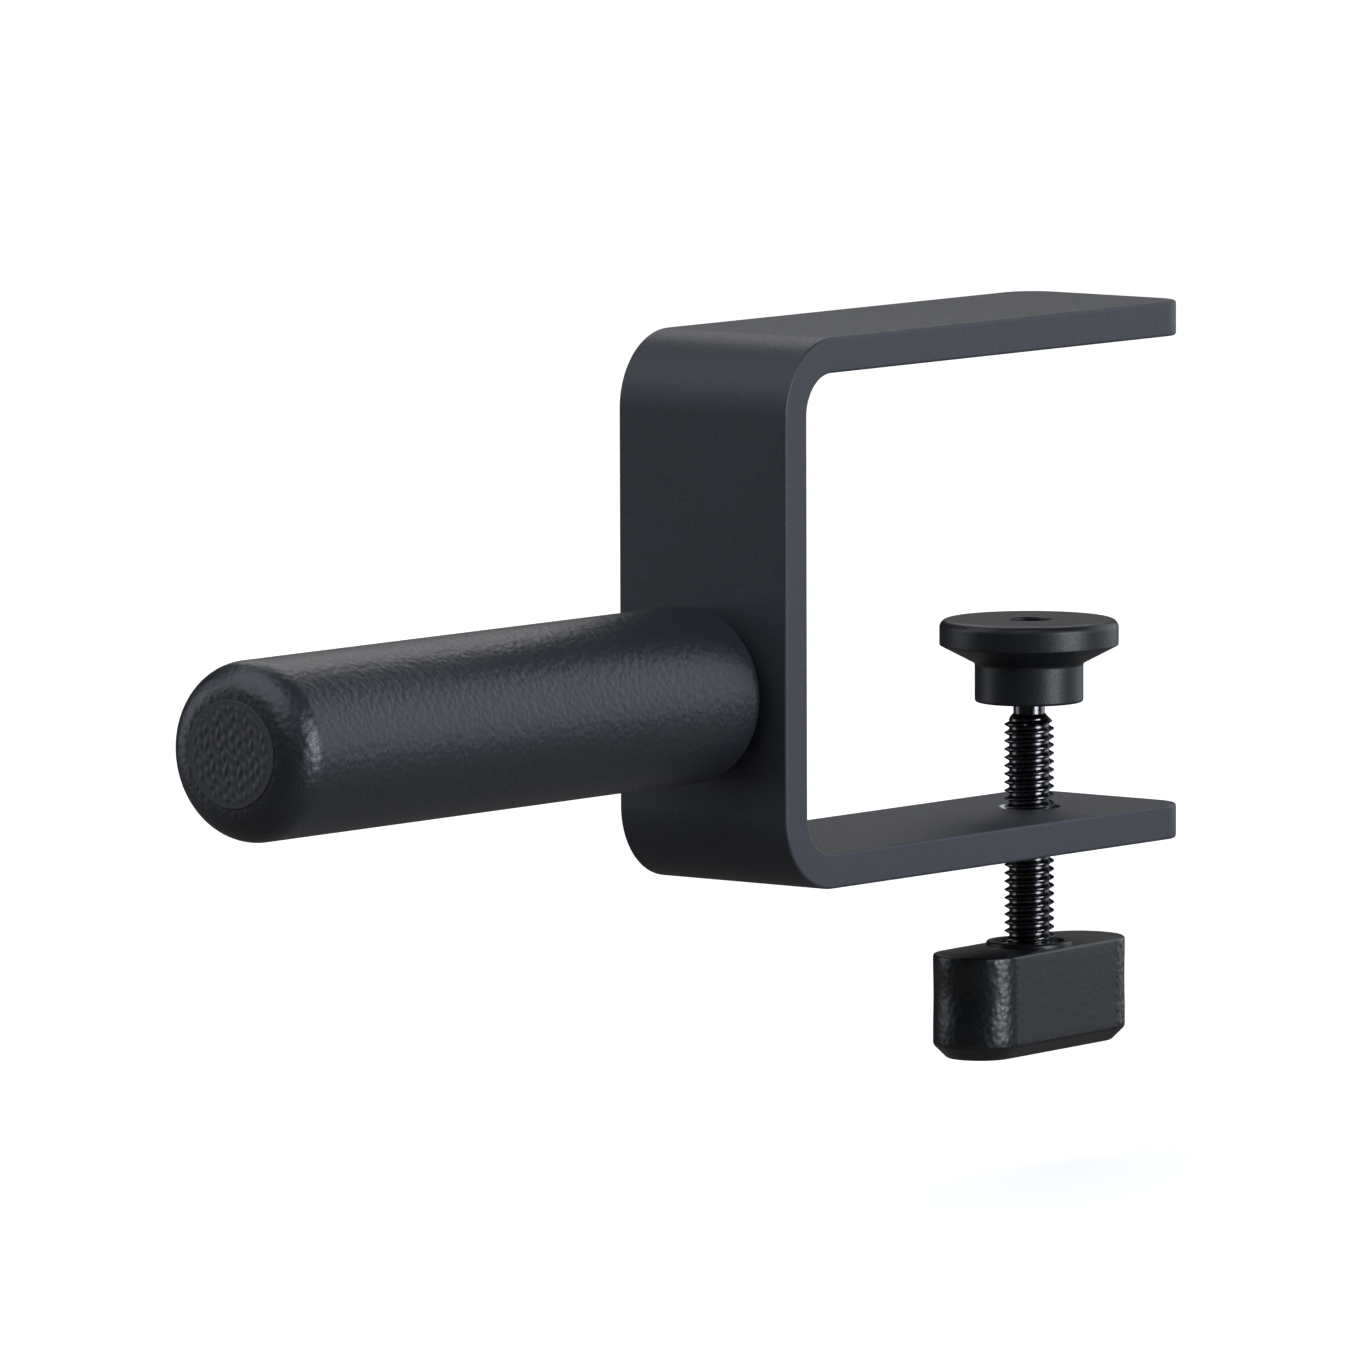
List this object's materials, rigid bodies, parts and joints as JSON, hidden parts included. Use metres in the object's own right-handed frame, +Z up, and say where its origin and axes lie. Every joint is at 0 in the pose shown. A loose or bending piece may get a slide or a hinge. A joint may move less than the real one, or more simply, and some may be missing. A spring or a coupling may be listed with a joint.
{
  "type": "headphone hook",
  "caption": "Desk-clamp headphone hook: bent flat bar with a padded round peg, and a clamp screw with a swivelling pressure pad and an oblong knob.",
  "frame": {"origin": "on the face that rests on the desk top, under the upper arm, on the clamp screw's axis", "axes": "+X from the upright towards the desk, along the arms; +Y across the bar's width; +Z up, along the clamp screw. The peg points to -X."},
  "size_m": [0.1656, 0.025, 0.0901],
  "materials": {
    "coated_steel": "matte charcoal powder coat",
    "sleeve_rubber": "fine leather grain, soft sheen",
    "disc_rubber": "embossed weave texture",
    "pad_plastic": "satin moulded",
    "knob_plastic": "fine pebbled moulding",
    "black_steel": "oiled black oxide",
    "bright_steel": "machined",
    "core_aluminium": "machined",
    "grip_rubber": "matte"
  },
  "bodies": {
    "frame": {"c_bracket": "coated_steel", "desk_pad": "grip_rubber", "peg_core": "core_aluminium", "peg_sleeve": "sleeve_rubber", "peg_end_disc": "disc_rubber", "peg_gasket": "grip_rubber", "peg_screw": "black_steel"},
    "thrust_washer": {"thrust_washer": "bright_steel"},
    "screw": {"clamp_screw": "black_steel", "knob": "knob_plastic", "knob_insert": "bright_steel"},
    "pad": {"pressure_pad": "pad_plastic"}
  },
  "joints": [
    {"name": "screw_travel", "type": "slide", "parent": "frame", "child": "thrust_washer", "axis": [0, 0, 1], "range_m": [-0.012, 0.0105]},
    {"name": "knob_turn", "type": "hinge", "parent": "thrust_washer", "child": "screw", "pos_m": [0, 0, -0.0724], "axis": [0, 0, 1], "range_deg": [-4320, 3780]},
    {"name": "pad_swivel", "type": "hinge", "parent": "thrust_washer", "child": "pad", "pos_m": [0, 0, -0.0386], "axis": [0, 0, 1], "continuous": true}
  ],
  "couplings": [
    {"joint": "screw_travel", "follows": "knob_turn", "m_per_rad": 0.00015915}
  ]
}
